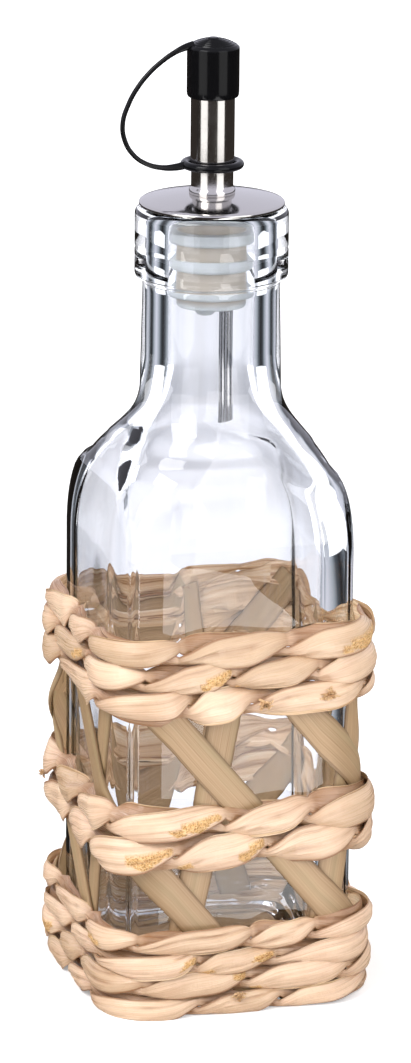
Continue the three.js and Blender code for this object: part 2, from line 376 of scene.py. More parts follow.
def leafStrand():
    look = strandLook
    r = Recipe("leafStrand")
    fibres = r.noise(r.uvCoords((0.35, 30, 1)), 1.0, 4, 0.6, 0.3)
    fineFibres = r.noise(r.uvCoords((0.8, 110, 1)), 1.0, 3, 0.6)
    patches = r.noise(r.objectCoords(), 75, 3, 0.55)
    tone = r.pointValue("tone")
    pith = r.pointValue("pith")
    edge = r.pointValue("edge")
    ground = r.ramp(patches, "Fac", [(0.28, look["rosy"]), (0.62, look["pale"])])
    streaks = r.ramp(fibres, "Fac", look["streaks"])
    streaked = r.mixColour(0.55, None, ground, "Color", streaks, "Color", "MULTIPLY")
    lobe = r.mixColour(tone, "Fac", streaked, 2, look["tan"], None)
    # the inner face takes its own lightened palette: painted light inside the sleeve, over the leaf's brown
    # folds
    inner = r.pointValue("inner")
    coarse = r.noise(r.uvCoords((0.25, 16, 1)), 1.0, 3, 0.6, 0.2)
    innerToneAndPaintedLight = r.ramp(coarse, "Fac", [(0.36, look["insideDark"]), (0.5, look["inside"]),
                                       (0.68, look["insidePale"])])
    toned = r.mixColour(inner, "Fac", lobe, 2, innerToneAndPaintedLight, "Color")
    pores = r.add("ShaderNodeTexVoronoi", Scale=1900.0)
    r.link(r.objectCoords(), "Vector", pores, "Vector")
    poreTone = r.ramp(pores, "Distance", [(0.05, look["pit"]), (0.35, look["pith"]),
                                          (0.8, look["pithPale"])])
    withPith = r.mixColour(pith, "Fac", toned, 2, poreTone, "Color")
    # the edge value brings in the seam colour: painted shade where the lobes pinch, crease and pass behind,
    # with the leaf's darker margins
    seamsAndPaintedShade = r.mixColour(edge, "Fac", withPith, 2, look["seam"], None)
    r.tree.links.new(mixOut(seamsAndPaintedShade), r.shader.inputs["Base Color"])
    rough = r.range(fineFibres, "Fac", *look["roughness"], 0.3, 0.7)
    r.surface({"Specular IOR Level": 0.6, "Subsurface Weight": 0.08,
               "Subsurface Radius": (0.002, 0.0012, 0.0007), "Subsurface Scale": 1.0})
    ridge = r.bump(fibres, "Fac", 0.0004, 0.6)
    wrinkles = r.noise(r.uvCoords((5.5, 7, 1)), 1.0, 3, 0.55, 0.8)
    wrinkled = r.bump(wrinkles, "Fac", 0.0005, 0.35, ridge)
    hair = r.bump(fineFibres, "Fac", 0.0001, 0.5, wrinkled)
    poreDepth = r.add("ShaderNodeMath", operation="MULTIPLY")
    r.link(pores, "Distance", poreDepth, 0)
    r.link(pith, "Fac", poreDepth, 1)
    r.relief(r.bump(poreDepth, "Value", 0.0006, 0.9, hair), rough)
    return r.material


stakeLook = {
    "ground": (0.37, 0.235, 0.12),
    "light": (0.54, 0.37, 0.21),
    "dark": (0.14, 0.075, 0.03),
    "olive": (0.37, 0.29, 0.15),
    "roughness": (0.38, 0.55),
}


def leafStake():
    look = stakeLook
    r = Recipe("leafStake")
    fibres = r.noise(r.uvCoords((0.12, 24, 1)), 1.0, 4, 0.55, 0.1)
    fine = r.noise(r.uvCoords((0.5, 120, 1)), 1.0, 3, 0.6)
    patches = r.noise(r.uvCoords((0.25, 1.6, 1)), 1.0, 3, 0.5)
    edge = r.pointValue("edge")
    tone = r.pointValue("tone")
    ground = r.ramp(fibres, "Fac", [(0.25, look["dark"]), (0.42, look["ground"]), (0.75, look["light"])])
    soft = r.mixColour(0.15, None, ground, "Color", look["ground"], None)
    green = r.range(patches, "Fac", 0.0, 0.7, 0.45, 0.75)
    greened = r.mixColour(green, "Result", soft, 2, look["olive"], None)
    toned = r.mixColour(tone, "Fac", greened, 2, look["dark"], None)
    edged = r.mixColour(edge, "Fac", toned, 2, look["dark"], None)
    r.tree.links.new(mixOut(edged), r.shader.inputs["Base Color"])
    rough = r.range(fine, "Fac", *look["roughness"], 0.3, 0.7)
    ridge = r.bump(fibres, "Fac", 0.00012, 0.45)
    r.relief(r.bump(fine, "Fac", 0.00004, 0.5, ridge), rough)
    return r.material


finishes = {
    "glass": clearGlass(),
    "steel": polishedSteel(),
    "black": blackPlastic(),
    "milky": milkyPlastic(),
    "strand": leafStrand(),
    "stake": leafStake(),
}
print("materials made:", len(finishes))


glassLow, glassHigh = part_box("glass_bottle")
bottle = {
    "half": (glassHigh.x - glassLow.x) / 2 / mm,
    "corner": 13,
    "squareTop": 138,
    "roundBottom": 161,
    "base": glassLow.z / mm,
    "lip": glassHigh.z / mm,
    "collarBottom": 194.9,
    "collarRadius": 20.56,
    "neckRadius": 18.4,
    "neckBottomRadius": 19,
    "neckBottom": 165,
    "shoulderBottom": 121,
    "bore": 11.6,
    "wall": 3.5,
    "floor": 7,
    "hollowRoundness": 0.8,   # blown glass is thick in its corners
}
straightHalf = bottle["half"] - bottle["corner"]
hollowHalf = bottle["half"] - bottle["wall"]
quarterLength = 2 * straightHalf + math.pi / 2 * bottle["corner"]
girth = 4 * quarterLength


def smoothStep(value, low, high):
    t = min(1, max(0, (value - low) / (high - low)))
    return t * t * (3 - 2 * t)


def roundedSquarePoint(turn, half, straight):
    corner = half - straight
    cornerShare = (corner / half) ** 0.6
    flatShare = (1 - cornerShare) / 2
    quarter = math.floor(turn * 4)
    along = turn * 4 - quarter
    if along < flatShare:
        x, y = half, along / flatShare * straight
    elif along > 1 - flatShare:
        x, y = (1 - along) / flatShare * straight, half
    else:
        angle = (along - flatShare) / cornerShare * math.pi / 2
        x, y = straight + corner * math.cos(angle), straight + corner * math.sin(angle)
    turned = (quarter - 1) * math.pi / 2
    return (x * math.cos(turned) - y * math.sin(turned), x * math.sin(turned) + y * math.cos(turned))


# gives a turned piece the body's outline: each radius becomes half a width
def squareUp(piece):
    for vertex in piece.data.vertices:
        half = math.hypot(vertex.co.x, vertex.co.y) / mm
        if half < 1e-3:
            continue
        height = vertex.co.z / mm
        roundness = smoothStep(height, bottle["squareTop"], bottle["roundBottom"])
        straight = straightHalf * half / bottle["half"] * (1 - roundness)
        if half < hollowHalf + 0.01 and height > bottle["base"] + bottle["floor"] - 2:
            straight *= bottle["hollowRoundness"]
        turn = (math.atan2(vertex.co.y, vertex.co.x) + math.pi / 2) / (2 * math.pi) % 1
        x, y = roundedSquarePoint(turn, half, straight)
        vertex.co.x, vertex.co.y = x * mm, y * mm


# a point off the body's side and the way out from it; along is counted from the front's middle
def wallPlace(along, offset, height):
    wrapped = along % girth
    quarter = math.floor(wrapped / quarterLength)
    rest = wrapped - quarter * quarterLength
    arcLength = math.pi / 2 * bottle["corner"]
    if rest > straightHalf + arcLength:
        x, y, outX, outY = quarterLength - rest, bottle["half"] + offset, 0, 1
    elif rest > straightHalf:
        angle = (rest - straightHalf) / bottle["corner"]
        radius = bottle["corner"] + offset
        outX, outY = math.cos(angle), math.sin(angle)
        x, y = straightHalf + radius * outX, straightHalf + radius * outY
    else:
        x, y, outX, outY = bottle["half"] + offset, rest, 1, 0
    c, s = math.cos((quarter - 1) * math.pi / 2), math.sin((quarter - 1) * math.pi / 2)
    place = Vector((x * c - y * s, x * s + y * c, height))
    return place, Vector((outX * c - outY * s, outX * s + outY * c, 0))


def makeGlass():
    b = bottle
    half, base, lip = b["half"], b["base"], b["lip"]
    edge, lipEdge, punt = 3.2, 2.2, 1.4
    outer = [(0, base + punt), (half - 4 * edge, base + punt)]
    outer += bezier((half - 3.6 * edge, base + punt), (half - 2.8 * edge, base + punt),
                    (half - 2.6 * edge, base), (half - 1.8 * edge, base), 6)
    outer += arc(half - edge, base + edge, edge, -90, 0, 8)
    outer += [(half, base + 3 * edge)]
    outer += bezier((half, b["shoulderBottom"]), (half + 0.5, 153),
                    (b["neckBottomRadius"] + 1.6, 151.5), (b["neckBottomRadius"], b["neckBottom"]), 28)
    # the collar flares from the neck, with a faint seam of the mould round its middle
    under = b["collarBottom"]
    outer += bezier((b["neckRadius"], under - 2.2), (b["neckRadius"], under - 0.4),
                    (b["neckRadius"] + 0.2, under), (b["neckRadius"] + 0.7, under + 0.2), 5)
    outer += arc(b["collarRadius"] - 1.6, under + 1.9, 1.6, -80, 0, 6)
    seam = 203.6
    outer += [(b["collarRadius"], seam - 0.8), (b["collarRadius"] - 0.14, seam - 0.3),
              (b["collarRadius"] - 0.14, seam + 0.1), (b["collarRadius"], seam + 0.6)]
    outer += arc(b["collarRadius"] - lipEdge, lip - lipEdge, lipEdge, 0, 90, 8)
    hollow = hollowHalf
    mouth = arc(b["bore"] + 1.0, lip - 1.0, 1.0, 90, 180, 4)
    down = bezier((b["bore"], b["neckBottom"] + 7), (b["bore"] + 1.5, 148), (hollow + 0.5, 149),
                  (hollow, b["shoulderBottom"] - b["wall"]), 26)
    hollowEdge = 7
    floorHeight = base + b["floor"]
    bottom = arc(hollow - hollowEdge, floorHeight + hollowEdge, hollowEdge, 0, -90, 9)
    inner = mouth + down + bottom + [(hollow - 2 * hollowEdge, floorHeight + 0.5), (0, floorHeight + 1.2)]
    piece = turnedPiece("glassBottle", straightened(outer + inner, 2.5), 144, 60)
    squareUp(piece)
    # pressed glass: the inside is never quite even
    for vertex in piece.data.vertices:
        co = vertex.co
        wide = max(abs(co.x), abs(co.y)) / mm
        height = co.z / mm
        inside = wide < hollow + 0.3 and floorHeight - 0.5 < height < b["shoulderBottom"] + 30
        if inside and math.hypot(co.x, co.y) > 0.004:
            wave = noise.noise(Vector((co.x * 70, co.y * 70, co.z * 38)))
            swell = noise.noise(Vector((co.x * 28, co.y * 28, co.z * 18 + 5)))
            out = Vector((co.x, co.y, 0)).normalized()
            vertex.co -= out * (0.28 * wave + 0.45 * swell + 0.35) * mm
    piece.data.update()
    return finishPiece(piece, "bottle", finishes["glass"], "clear_glass", "glass_bottle")


makeGlass()
print("glass made")


ringHeight = 225.9    # where the tether's ring sits on the spout

pourer = {
    "disc": 19.45,
    "crown": 2.3,
    "tube": 5.87,
    "tubeLower": 5.65,
    "tubeWall": 0.7,
    "bead": 218.6,
    "beadRadius": 6.23,
    "ventX": 4.3,
    "vent": 1.9,
    "ventBottom": 154.6,
}


def makeDisc():
    p = pourer
    underside = heights(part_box("flange_disc"))[0]
    rim = underside + 1.0
    hole = p["tube"] + 0.3
    dome = (p["disc"] ** 2 + p["crown"] ** 2) / (2 * p["crown"])
    profile = [(hole, underside), (p["disc"] - 0.5, underside)]
    profile += arc(p["disc"] - 0.35, underside + 0.35, 0.35, -90, 0, 4)
    profile += arc(p["disc"] - 0.3, rim - 0.3, 0.3, 0, 75, 4)
    crownZ = rim + p["crown"] - dome
    for i in range(14):
        radius = p["disc"] - 0.35 - (p["disc"] - 0.35 - hole) * i / 13
        profile.append((radius, crownZ + math.sqrt(dome ** 2 - radius ** 2)))
    piece = turnedPiece("flangeDisc", profile, 120, 30, closed=True)
    return finishPiece(piece, "pourer", finishes["steel"], "polished_steel", "flange_disc")


def makeSpout():
    p = pourer
    bottom, top = heights(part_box("pour_tube"))
    ring, bead, beadRadius = ringHeight, p["bead"], p["beadRadius"]
    lower, upper = p["tubeLower"], p["tube"]
    inside = p["tube"] - p["tubeWall"]
    profile = [(lower - 0.1, bottom), (lower, bottom + 0.2), (lower, bead - 1.7)]
    profile += bezier((lower, bead - 1.6), (lower + 0.1, bead - 0.9), (beadRadius, bead - 1.0),
                      (beadRadius, bead), 6)
    profile += bezier((beadRadius, bead), (beadRadius, bead + 1.0), (lower + 0.1, bead + 0.9),
                      (lower, bead + 1.7), 6)[1:]
    profile += bezier((lower, ring - 1.5), (lower, ring - 0.4), (upper, ring + 0.4), (upper, ring + 1.5), 5)
    profile += [(upper, top - 0.4)]
    profile += arc(upper - 0.35, top - 0.35, 0.35, 0, 180, 6)
    profile += [(inside, top - 1), (inside - 0.2, bottom)]
    piece = turnedPiece("pourTube", straightened(profile, 6), 96, 40, closed=True)
    return finishPiece(piece, "pourer", finishes["steel"], "polished_steel", "pour_tube")


def makeVent():
    p = pourer
    bottom, top = heights(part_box("vent_tube"))
    outside, bore = p["vent"], p["vent"] - 0.35
    profile = [(bore, bottom + 0.1), (bore + 0.12, bottom), (outside - 0.12, bottom),
               (outside, bottom + 0.12), (outside, top), (bore, top)]
    piece = turnedPiece("ventTube", straightened(profile, 4), 40, 40, closed=True)
    # the free end is cut a little aslant
    for vertex in piece.data.vertices:
        if vertex.co.z < (bottom + 1) * mm:
            vertex.co.z += vertex.co.x * 0.35 + 0.35 * outside * mm
    movePiece(piece, (p["ventX"] * mm, 0, 0))
    return finishPiece(piece, "pourer", finishes["steel"], "polished_steel", "vent_tube")


stopperShape = {
    "core": 9.3,
    "fin": 11.3,
    "fins": [(191, 3.0), (198.5, 3.6), (205.8, 3.2)],
    "bottom": 188,
    "noseX": -1.6,
    "nose": 3.3,
    "noseBottom": 184.7,
    "socket": 5.95,
    "socketBottom": 197,
}


def makeStopper():
    s = stopperShape
    top = heights(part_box("stopper"))[1]
    core, fin, base = s["core"], s["fin"], s["bottom"]
    profile = [(0, base), (core - 1.6, base)]
    profile += arc(core - 0.9, base + 0.9, 0.9, -90, 0, 4)
    for bottom, height in s["fins"]:
        profile += [(core, bottom - 0.3), (core + 0.3, bottom)]
        profile += bezier((core + 0.4, bottom), (fin - 0.5, bottom + 0.1),
                          (fin, bottom + 0.5), (fin, bottom + 1.3), 5)
        profile += arc(fin - 0.35, bottom + height - 0.35, 0.35, 0, 90, 3)
        profile += [(core + 0.3, bottom + height), (core, bottom + height + 0.3)]
    profile += [(core, top - 0.3), (core - 0.3, top), (s["socket"], top),
                (s["socket"], s["socketBottom"]), (0, s["socketBottom"])]
    piece = turnedPiece("stopperPlug", straightened(profile, 3), 80, 35)
    nose = turnedPiece("nose", arc(0, s["noseBottom"] + s["nose"], s["nose"], -90, 0, 8)
                       + [(s["nose"], 189.5), (0, 189.5)], 40)
    movePiece(nose, (s["noseX"] * mm, 0, 0))
    joinBy(piece, nose, "UNION")
    holes = ((s["noseX"], 2.0), (pourer["ventX"], pourer["vent"] + 0.3))
    for x, radius in holes:
        deselectAll()
        bpy.ops.mesh.primitive_cylinder_add(vertices=32, radius=radius * mm, depth=0.02,
                                            location=(x * mm, 0, 0.190))
        joinBy(piece, bpy.context.object, "DIFFERENCE")
    makeActive(piece)
    bpy.ops.object.shade_smooth_by_angle(angle=math.radians(35))
    # the core between the fins gets the darker beige: painted shade in the recesses between the fins
    inCore = piece.data.attributes.new("core", "FLOAT", "POINT")
    for vertex, value in zip(piece.data.vertices, inCore.data):
        between = math.hypot(vertex.co.x, vertex.co.y) < (core + 0.2) * mm and vertex.co.z > 0.19
        value.value = 0.85 if between else 0.0
    return finishPiece(piece, "pourer", finishes["milky"], "milky_plastic", "stopper")


def joinBy(piece, tool, operation):
    makeActive(piece)
    cut = piece.modifiers.new(operation.lower(), "BOOLEAN")
    cut.operation = operation
    cut.object = tool
    cut.solver = "EXACT"
    bpy.ops.object.modifier_apply(modifier=cut.name)
    bpy.data.objects.remove(tool)


makeDisc()
makeSpout()
makeVent()
makeStopper()
print("pourer made")


capShape = {"radius": 7.0, "rings": 6, "ringDepth": 0.3, "dome": 2.2, "flat": 1.5}


def makeCap():
    c = capShape
    bottom, top = heights(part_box("spout_cap"))
    side, flat = c["radius"], c["flat"]
    rim = top - c["dome"]
    hollow = pourer["tube"] + 0.3
    profile = [(0, rim - 3.6), (hollow - 0.4, rim - 3.6), (hollow, rim - 4.0), (hollow, bottom + 0.4),
               (hollow + 0.25, bottom)]
    profile += [(side - 1.0, bottom), (side - 0.35, bottom + 0.15)]
    profile += bezier((side - 0.35, bottom + 0.15), (side - 0.05, bottom + 0.4),
                      (side, bottom + 1.2), (side, bottom + 2.0), 5)[1:]
    profile += [(side, rim - 1.0)]
    profile += arc(side - 0.55, rim - 0.55, 0.55, 0, 60, 5)
    # low dome with round grooves and a small flat in the middle
    outer = side - 0.7
    for i in range(8 * c["rings"] + 1):
        share = i / (8 * c["rings"])
        radius = outer - share * (outer - flat)
        here = rim - 0.1 + (c["dome"] - 0.1) * (1 - (radius / side) ** 2.3)
        groove = 0.5 * c["ringDepth"] * (1 - math.cos(2 * math.pi * c["rings"] * share))
        profile.append((radius, here - groove))
    profile += [(flat, top - 0.12), (flat - 0.25, top), (0, top)]
    piece = turnedPiece("spoutCap", straightened(profile, 4), 96, 32)
    return finishPiece(piece, "cap", finishes["black"], "black_plastic", "spout_cap")


def makeRing():
    outer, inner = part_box("tether_ring")[1].x / mm, pourer["tube"] + 0.25
    middle, half = (outer + inner) / 2, (outer - inner) / 2
    section = [(middle + half * math.cos(a * math.pi / 12), ringHeight + 1.1 * math.sin(a * math.pi / 12))
               for a in range(24)]
    piece = turnedPiece("tetherRing", section, 96, 60, closed=True)
    return finishPiece(piece, "tether", finishes["black"], "black_plastic", "tether_ring")


strapShape = {
    "thick": 1.3,
    "route": [(-5.4, 258.2), (-7.5, 257.7), (-10.6, 256.4), (-14.2, 254.1), (-17.5, 251.3), (-20.6, 247.7),
              (-23.2, 243.2), (-24.8, 238), (-24.2, 233.4), (-21.8, 229.4), (-18.4, 226.9), (-14.2, 225.6),
              (-10, 225.5), (-7.6, 225.9)],
}


def makeStrap():
    curve = bpy.data.curves.new("tetherStrap", "CURVE")
    curve.dimensions = "3D"
    curve.bevel_depth = strapShape["thick"] / 2 * mm
    curve.bevel_resolution = 5
    curve.resolution_u = 10
    curve.use_fill_caps = True
    route = strapShape["route"]
    spline = curve.splines.new("BEZIER")
    last = len(route) - 1
    spline.bezier_points.add(last)
    for i, (point, (x, z)) in enumerate(zip(spline.bezier_points, route)):
        point.co = (x * mm, 0, z * mm)
        point.handle_left_type = point.handle_right_type = "AUTO"
        # the strap widens into the cap and the ring
        fromEnd = min(i, last - i)
        point.radius = (1.7, 1.5, 1.1)[fromEnd] if fromEnd < 3 else 1.0
    makeActive(addToScene("tetherStrap", curve))
    bpy.ops.object.convert(target="MESH")
    piece = bpy.context.object
    bpy.ops.object.shade_smooth()
    piece.data.materials.clear()
    piece.data.materials.append(finishes["black"])
    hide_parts("tether_strap")
    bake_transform(piece)
    return piece


makeCap()
makeRing()
makeStrap()
print("cap and tether made")


weave = {
    "lobes": 10,          # strands cross the front of a row this many times round
    "depth": 1.2,         # how far a strand swings out and in, mm
    "middle": 4.1,        # middle of the weave, from the glass
    "slant": 0.27,        # how far it climbs and falls, as a share of the row's height
    "turn": 0.86,         # how far it turns where it dives behind the other, radians
    "flap": 0.4,          # how much of that turn its outer edge follows
    "tuck": 0.3,          # how much deeper it lies there, mm
    "pinch": 0.25,        # half width at the pinches, and how much more between them
    "swell": 0.36,
    "curl": 0.5,
    "thickness": 1.15,
    "cornerProud": 0.7,
    "stepLength": 0.8,
    "across": 30,
}


def valueAt(values, place):
    count = len(values)
    i = math.floor(place)
    t = place - i
    t = t * t * (3 - 2 * t)
    return values[i % count] * (1 - t) + values[(i + 1) % count] * t


# noise that meets itself after one round of the bottle
def roundNoise(share, cells, across, drift):
    angle, radius = 2 * math.pi * share, cells / (2 * math.pi)
    return noise.noise(Vector((radius * math.cos(angle) + drift, radius * math.sin(angle), across)))


# one of the two leaves of a row: it swings out to the front, then behind the other one
def strand(name, bottom, top, phase, rowSeed, seed, pithSpots):
    rowRng, rng = random.Random(rowSeed), random.Random(seed)
    w = weave
    lobes = w["lobes"]
    height = top - bottom
    middleHeight = (bottom + top) / 2
    length = 8 * straightHalf + 2 * math.pi * (bottle["corner"] + w["middle"])
    steps = int(length / w["stepLength"])
    jitters = [rowRng.uniform(-0.75, 0.75) for _ in range(lobes)]
    sways = [rowRng.uniform(-0.4, 0.4) for _ in range(lobes)]
    widths = [rng.uniform(0.82, 1.2) for _ in range(lobes)]
    lifts = [rng.uniform(-0.3, 0.3) for _ in range(lobes)]
    bulges = [rng.uniform(-0.4, 0.4) for _ in range(lobes)]
    tilts = [rng.uniform(-0.28, 0.22) for _ in range(lobes)]
    creases = [(rng.uniform(-0.65, 0.0), rng.uniform(0.1, 0.7), rng.uniform(0.2, 0.5))
               for _ in range(lobes)]
    facets = [(rng.uniform(-0.2, 1.5), rng.uniform(-0.2, 1.8)) for _ in range(lobes)]
    tones = [rng.choice((0.0, 0.0, 0.1, 0.25, 0.45, 0.7)) for _ in range(lobes)]
    vertices, uvs = [], []
    tone, pith, edge, inner = [], [], [], []
    across = w["across"]
    drift = rng.uniform(0, 90)
    # it is joined where it runs behind the other one, at the back
    start = (1 - phase / math.pi) / lobes + 4 / lobes
    for i in range(steps):
        share = start + i / steps
        along = share * girth
        lobePlace = share * lobes
        theta = math.pi * lobes * share + phase + valueAt(jitters, lobePlace)
        phi = theta - 0.34 * math.sin(2 * theta)
        front, side = math.cos(phi), math.sin(phi)
        lobe = round(theta / math.pi) % lobes
        fullness = abs(front) ** 0.62
        halfWidth = height * (w["pinch"] + w["swell"] * fullness) * valueAt(widths, lobePlace)
        corner = abs((along / quarterLength) % 1 - 0.5) * 2
        proud = w["cornerProud"] * (1 - smoothStep(corner, 0.1, 0.5))
        out = w["middle"] + proud + w["depth"] * front - w["tuck"] * side * side
        out += valueAt(bulges, lobePlace) * max(0, front)
        up = middleHeight + height * w["slant"] * side
        up += valueAt(lifts, lobePlace) + valueAt(sways, lobePlace)
        lean = w["turn"] * side + valueAt(tilts, lobePlace) * fullness
        normal = (math.cos(lean), math.sin(lean))
        width = (-normal[1], normal[0])
        firstCrease, secondCrease, creaseDepth = creases[lobe]
        lowFacet, highFacet = facets[lobe]
        here = (along + girth / 2) % girth - girth / 2
        pithy = max((1 - ((2 * here - start - end) / (end - start)) ** 2 for start, end in pithSpots))
        for j in range(across):
            angle = 2 * math.pi * j / across
            s = math.copysign(abs(math.cos(angle)) ** 0.8, math.cos(angle))
            rise = math.sin(angle)
            lift = 0.0
            wander = 0.16 * roundNoise(share, 20, 2.0, drift)
            if rise > 1e-6:
                n1 = roundNoise(share, 8, s * 1.9, drift)
                n2 = roundNoise(share, 15, s * 5.5, drift + 30)
                n3 = roundNoise(share, 90, s * 3.0, drift + 60)
                lift = 0.55 * w["thickness"] * (1 - abs(s) ** 4.5)
                lift += 0.42 * (0.35 - abs(n1)) + 0.30 * (0.3 - abs(n2)) + 0.12 * n3
                slope = lowFacet * max(0, firstCrease - s) + highFacet * max(0, s - secondCrease)
                lift -= slope * fullness
                for place in (firstCrease, secondCrease):
                    near = abs(s - place - wander) / 0.11
                    if near < 1:
                        lift -= creaseDepth * (1 - near) * fullness
                lift *= 1 - abs(s) ** 9
            elif rise < -1e-6:
                lift = -0.5 * w["thickness"] * (1 - abs(s) ** 4)
            lift -= w["curl"] * s * s * (0.3 + 0.7 * fullness)
            ragged = 1 + 0.05 * roundNoise(share, 37, s, drift + 90)
            spread = halfWidth * s * ragged
            outward = width[0] * spread
            outHere = out + normal[0] * lift + outward * (w["flap"] if outward > 0 else 1)
            upHere = up + normal[1] * lift + width[1] * spread
            outHere = max(outHere, 0.5)
            place, _ = wallPlace(along, outHere, max(upHere, 0.05))
            vertices.append(place * mm)
            tone.append(tones[lobe])
            # marks the inner face for its lightened palette, which is painted light
            inner.append(1.0 if rise < -0.1 else 0.0)
            torn = pithy - (abs(s + 0.42 + 0.12 * math.sin(along)) / 0.42) ** 2
            pith.append(1.0 if torn > 0 and rise > 0 and front > 0.2 else 0.0)
            # painted shade: darker towards the lobe's margins, at the pinches, where this strand lies
            # behind the other, along the creases, and a little on the underside; the margins are partly the
            # leaf's own darker edge
            dark = 0.9 * smoothStep(abs(s), 0.82, 0.97) + 0.5 * (1 - fullness) ** 1.6
            dark += 0.6 * smoothStep(-front, 0.0, 0.5)
            for place in (firstCrease, secondCrease):
                dark += creaseDepth * 1.3 * max(0, 1 - abs(s - place - wander) / 0.06) * fullness
            edge.append(min(0.9, dark if rise > 0 else 0.2))
            uvs.append(((i * girth / steps) * 0.1 + seed * 3.7, angle / (2 * math.pi)))
    piece = meshPiece(name, vertices, (), ringFaces(steps, across, True))
    addLeafData(piece, uvs, tone=tone, pith=pith, edge=edge, inner=inner)
    evenNormals(piece, 32)
    return piece


def addLeafData(piece, uvs, **values):
    for label, values in values.items():
        attribute = piece.data.attributes.new(label, "FLOAT", "POINT")
        attribute.data.foreach_set("value", values)
    layer = piece.data.uv_layers.new(name="leafUv")
    for face in piece.data.polygons:
        corners = [uvs[i] for i in face.vertices]
        far = [max(c[axis] for c in corners) for axis in (0, 1)]
        for loop, (u, v) in zip(face.loop_indices, corners):
            # a face that closes the round carries on from the last one
            layer.data[loop].uv = (u + girth * 0.1 if far[0] - u > 1 else u,
                                   v + 1 if far[1] - v > 0.6 else v)


rowPhases = {
    "base_row_1": 0.2, "base_row_2": 1.7, "base_row_3": 0.5, "base_row_4": 2.1,
    "middle_row_1": 1.0, "middle_row_2": 2.6,
    "top_row_1": 0.9, "top_row_2": 2.4, "top_row_3": 0.4,
}


# where the leaf is torn open to its pith, from and to, mm round from the front's middle
pithAlong = {
    "base_row_1": [(58, 70)], "base_row_2": [(-4, 5), (-90, -78)],
    "base_row_3": [(-19, -9), (1, 12), (112, 122)],
    "base_row_4": [(-44, -36), (70, 82)],
    "middle_row_1": [(-30, -15), (-3, 8), (95, 108)], "middle_row_2": [(-22, -5), (40, 50), (-100, -86)],
    "top_row_1": [(60, 72)], "top_row_2": [(-14, -2), (-58, -47)], "top_row_3": [(24, 36), (100, 112)],
}


def makeRows():
    for number, (node, phase) in enumerate(rowPhases.items()):
        low, high = heights(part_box(node))
        band, _, row = node.split("_")
        for half, label in enumerate(("A", "B")):
            piece = strand(f"{band}Row{row}Strand{label}", low, high, phase + half * math.pi,
                           number + 40, number * 2 + half + 3, pithAlong[node])
            nodes = (node,) if half == 0 else ()
            finishPiece(piece, "sleeve", finishes["strand"], "leaf_strand", *nodes)
    print("rows twined:", len(rowPhases))


frays = {
    "spots": [(4.0, 87.0, 3.6), (21.5, 88.5, 3.8), (-2.5, 5.2, 3.2), (-88, 50, 3.2), (95, 12, 3.2),
              (140, 90, 3.4)],
    "slivers": 34,
    "outFrom": 6.7,
}


# cut ends of leaf that stick out of the weave as crumpled tufts
def makeFrays():
    rng = random.Random(11)
    vertices, faces, uvs = [], [], []
    for along, height, size in frays["spots"]:
        for n in range(frays["slivers"]):
            turn = rng.uniform(0, 2 * math.pi)
            reach = size * rng.uniform(0.25, 0.75)
            splay = rng.uniform(0.15, 0.95)
            halfWidth = rng.uniform(0.3, 0.65)
            curlUp = rng.uniform(-1.3, 1.3)
            steps = 7
            first = len(vertices)
            for i in range(steps + 1):
                t = i / steps
                away = reach * (t * splay + 0.1)
                bend = turn + curlUp * t
                out = frays["outFrom"] - 0.6 + 2.0 * t * (1.15 - splay * 0.8) - 0.9 * t * t * splay
                centreAlong, centreUp = along + away * math.cos(bend), height + away * math.sin(bend) * 0.8
                thick = 0.09
                wide = halfWidth * (1 - 0.6 * t)
                sideAlong, sideUp = -math.sin(bend) * wide, math.cos(bend) * wide
                for k, (a, b) in enumerate(((-1, -1), (1, -1), (1, 1), (-1, 1))):
                    outHere = out + b * thick + 0.25 * a * math.sin(n)
                    place, _ = wallPlace(centreAlong + a * sideAlong, outHere, centreUp + a * sideUp)
                    vertices.append(place * mm)
                    uvs.append((t * 0.4, a * 0.02 + n * 0.13))
            for i in range(steps):
                for k in range(4):
                    a, b = first + 4 * i + k, first + 4 * i + (k + 1) % 4
                    faces.append((a, b, b + 4, a + 4))
            faces.append((first + 3, first + 2, first + 1, first))
            last = first + 4 * steps
            faces.append((last, last + 1, last + 2, last + 3))
    piece = meshPiece("frayedEnds", vertices, (), faces)
    count = len(vertices)
    addLeafData(piece, uvs, tone=[0.1] * count, pith=[0.6] * count, edge=[0.08] * count,
                inner=[0.0] * count)
    evenNormals(piece)
    finishPiece(piece, "sleeve", finishes["strand"], "leaf_strand")
    print("frayed ends added")


stakes = {
    "width": 9.0,
    "thickness": 0.7,
    "layers": [
        ("upright_stake", -19.7, 0.18, 0.9, (0, -2, 0, 1, 0, 5)),
        ("diagonal_stake", 44, -0.82, 2.0, (0, -3.5, 0, 2, 0, 2.5)),
    ],
    # how far some of them stand off the glass between the two upper bands, mm
    "bows": {"upright_stake_5": 3.4, "diagonal_stake_5": 2.2, "upright_stake_2": 0.8},
}


